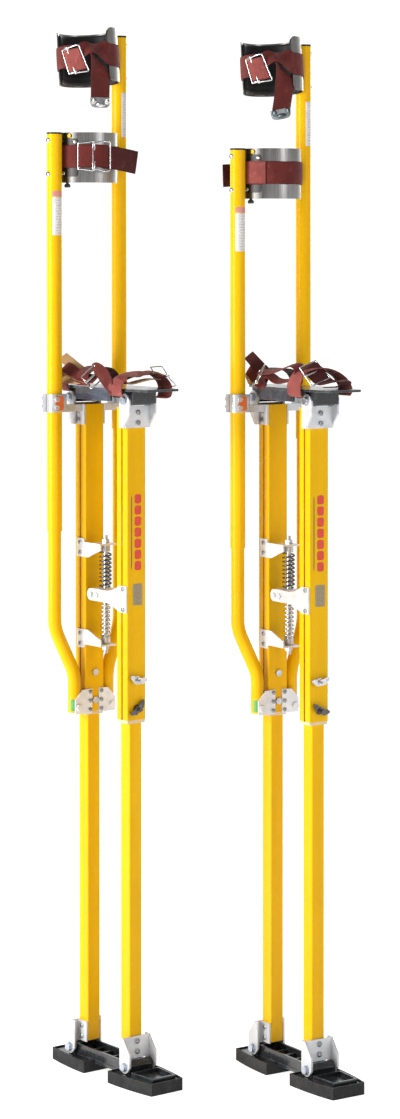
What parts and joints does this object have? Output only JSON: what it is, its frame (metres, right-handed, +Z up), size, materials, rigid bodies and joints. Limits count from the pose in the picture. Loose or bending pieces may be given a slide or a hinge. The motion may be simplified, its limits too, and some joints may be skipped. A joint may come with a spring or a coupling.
{
  "type": "drywall stilts",
  "caption": "Height-adjustable aluminium work stilts: hinged floor plates, spring-linked telescopic struts, foot plates, side poles and strapped leg bands.",
  "frame": {"origin": "bottom centre of the pair's bounding box, on the floor", "axes": "+Z up, the toes towards -Y, +X towards the wearer's left; each stilt is turned 2.3 degrees toe-in"},
  "size_m": [0.4138, 0.4722, 1.7514],
  "materials": {
    "yellow_coat": "yellow powder coat on aluminium tube",
    "bracket_metal": "light grey cast and pressed aluminium",
    "band_metal": "brushed sheet",
    "black_casting": "black coated casting",
    "sole_rubber": "textured black rubber",
    "zinc_steel": "bright zinc plating",
    "spring_steel": "spring wire",
    "maroon_leather": "ribbed maroon strap",
    "black_foam": "black foam lining"
  },
  "bodies": {
    "right_sole": {"right_floor_plate": "black_casting", "right_sole_pads": "sole_rubber", "right_floor_pivot_bolts": "zinc_steel"},
    "right_front_leg": {"right_front_inner_tube": "yellow_coat", "right_front_lower_bracket": "bracket_metal"},
    "right_rear_leg": {"right_rear_inner_tube": "yellow_coat", "right_rear_lower_bracket": "bracket_metal"},
    "right_front_strut": {"right_front_outer_tube": "yellow_coat", "right_front_upper_bracket": "bracket_metal", "right_spring_arm": "bracket_metal"},
    "right_rear_strut": {"right_rear_outer_tube": "yellow_coat", "right_rear_upper_bracket": "bracket_metal", "right_spring_rod": "zinc_steel", "right_upper_spring": "spring_steel", "right_lower_spring": "spring_steel", "right_pole_bases": "yellow_coat", "right_pole_brackets": "bracket_metal", "right_ankle_clamps": "bracket_metal"},
    "right_foot": {"right_foot_plate": "black_casting", "right_foot_pivot_bolts": "zinc_steel", "right_foot_straps": "maroon_leather"},
    "right_calf": {"right_calf_pole": "yellow_coat", "right_calf_band": "band_metal", "right_calf_strap": "maroon_leather"},
    "right_knee": {"right_knee_pole": "yellow_coat", "right_knee_band": "band_metal", "right_knee_pad": "black_foam", "right_knee_strap": "maroon_leather"},
    "right_upper_screw": {"right_upper_wing_screw": "zinc_steel"},
    "right_lower_screw": {"right_lower_wing_screw": "zinc_steel"},
    "left_sole": {"left_floor_plate": "black_casting", "left_sole_pads": "sole_rubber", "left_floor_pivot_bolts": "zinc_steel"},
    "left_front_leg": {"left_front_inner_tube": "yellow_coat", "left_front_lower_bracket": "bracket_metal"},
    "left_rear_leg": {"left_rear_inner_tube": "yellow_coat", "left_rear_lower_bracket": "bracket_metal"},
    "left_front_strut": {"left_front_outer_tube": "yellow_coat", "left_front_upper_bracket": "bracket_metal", "left_spring_arm": "bracket_metal"},
    "left_rear_strut": {"left_rear_outer_tube": "yellow_coat", "left_rear_upper_bracket": "bracket_metal", "left_spring_rod": "zinc_steel", "left_upper_spring": "spring_steel", "left_lower_spring": "spring_steel", "left_pole_bases": "yellow_coat", "left_pole_brackets": "bracket_metal", "left_ankle_clamps": "bracket_metal"},
    "left_foot": {"left_foot_plate": "black_casting", "left_foot_pivot_bolts": "zinc_steel", "left_foot_straps": "maroon_leather"},
    "left_calf": {"left_calf_pole": "yellow_coat", "left_calf_band": "band_metal", "left_calf_strap": "maroon_leather"},
    "left_knee": {"left_knee_pole": "yellow_coat", "left_knee_band": "band_metal", "left_knee_pad": "black_foam", "left_knee_strap": "maroon_leather"},
    "left_upper_screw": {"left_upper_wing_screw": "zinc_steel"},
    "left_lower_screw": {"left_lower_wing_screw": "zinc_steel"}
  },
  "joints": [
    {"name": "right_flex", "type": "hinge", "parent": "right_sole", "child": "right_rear_leg", "pos_m": [-0.12313, 0.19085, 0.03], "axis": [0.9992, 0.0401, 0], "range_deg": [-10, 10], "stiffness_Nm_per_rad": 400, "deforming": ["right_upper_spring", "right_lower_spring"]},
    {"name": "right_front_flex", "type": "hinge", "parent": "right_sole", "child": "right_front_leg", "pos_m": [-0.11687, 0.03498, 0.03], "axis": [0.9992, 0.0401, 0], "range_deg": [-10, 10]},
    {"name": "right_height", "type": "slide", "parent": "right_rear_leg", "child": "right_rear_strut", "axis": [0, 0, 1], "range_m": [-0.2286, 0.127]},
    {"name": "right_front_height", "type": "slide", "parent": "right_front_leg", "child": "right_front_strut", "axis": [0, 0, 1], "range_m": [-0.2286, 0.127]},
    {"name": "right_foot_level", "type": "hinge", "parent": "right_rear_strut", "child": "right_foot", "pos_m": [-0.12313, 0.19085, 1.13], "axis": [0.9992, 0.0401, 0], "range_deg": [-10, 10]},
    {"name": "right_calf_height", "type": "slide", "parent": "right_rear_strut", "child": "right_calf", "axis": [0, 0, 1], "range_m": [-0.11, 0.01]},
    {"name": "right_knee_height", "type": "slide", "parent": "right_rear_strut", "child": "right_knee", "axis": [0, 0, 1], "range_m": [-0.02, 0.035]},
    {"name": "right_upper_screw_turn", "type": "hinge", "parent": "right_front_strut", "child": "right_upper_screw", "pos_m": [-0.11695, 0.03698, 0.666], "axis": [0.0401, -0.9992, 0], "continuous": true},
    {"name": "right_lower_screw_turn", "type": "hinge", "parent": "right_front_strut", "child": "right_lower_screw", "pos_m": [-0.11695, 0.03698, 0.619], "axis": [0.0401, -0.9992, 0], "continuous": true},
    {"name": "stance", "type": "slide", "parent": "right_sole", "child": "left_sole", "axis": [1, 0, 0], "range_m": [-0.04, 0.2]},
    {"name": "left_flex", "type": "hinge", "parent": "left_sole", "child": "left_rear_leg", "pos_m": [0.12313, 0.00085, 0.03], "axis": [0.9992, -0.0401, 0], "range_deg": [-10, 10], "stiffness_Nm_per_rad": 400, "deforming": ["left_upper_spring", "left_lower_spring"]},
    {"name": "left_front_flex", "type": "hinge", "parent": "left_sole", "child": "left_front_leg", "pos_m": [0.11687, -0.15502, 0.03], "axis": [0.9992, -0.0401, 0], "range_deg": [-10, 10]},
    {"name": "left_height", "type": "slide", "parent": "left_rear_leg", "child": "left_rear_strut", "axis": [0, 0, 1], "range_m": [-0.2286, 0.127]},
    {"name": "left_front_height", "type": "slide", "parent": "left_front_leg", "child": "left_front_strut", "axis": [0, 0, 1], "range_m": [-0.2286, 0.127]},
    {"name": "left_foot_level", "type": "hinge", "parent": "left_rear_strut", "child": "left_foot", "pos_m": [0.12313, 0.00085, 1.13], "axis": [0.9992, -0.0401, 0], "range_deg": [-10, 10]},
    {"name": "left_calf_height", "type": "slide", "parent": "left_rear_strut", "child": "left_calf", "axis": [0, 0, 1], "range_m": [-0.11, 0.01]},
    {"name": "left_knee_height", "type": "slide", "parent": "left_rear_strut", "child": "left_knee", "axis": [0, 0, 1], "range_m": [-0.02, 0.035]},
    {"name": "left_upper_screw_turn", "type": "hinge", "parent": "left_front_strut", "child": "left_upper_screw", "pos_m": [0.11695, -0.15302, 0.666], "axis": [-0.0401, -0.9992, 0], "continuous": true},
    {"name": "left_lower_screw_turn", "type": "hinge", "parent": "left_front_strut", "child": "left_lower_screw", "pos_m": [0.11695, -0.15302, 0.619], "axis": [-0.0401, -0.9992, 0], "continuous": true}
  ],
  "couplings": [
    {"joint": "right_front_flex", "follows": "right_flex", "ratio": 1},
    {"joint": "right_foot_level", "follows": "right_flex", "ratio": -1},
    {"joint": "right_front_height", "follows": "right_height", "ratio": 1},
    {"joint": "left_front_flex", "follows": "left_flex", "ratio": 1},
    {"joint": "left_foot_level", "follows": "left_flex", "ratio": -1},
    {"joint": "left_front_height", "follows": "left_height", "ratio": 1}
  ]
}
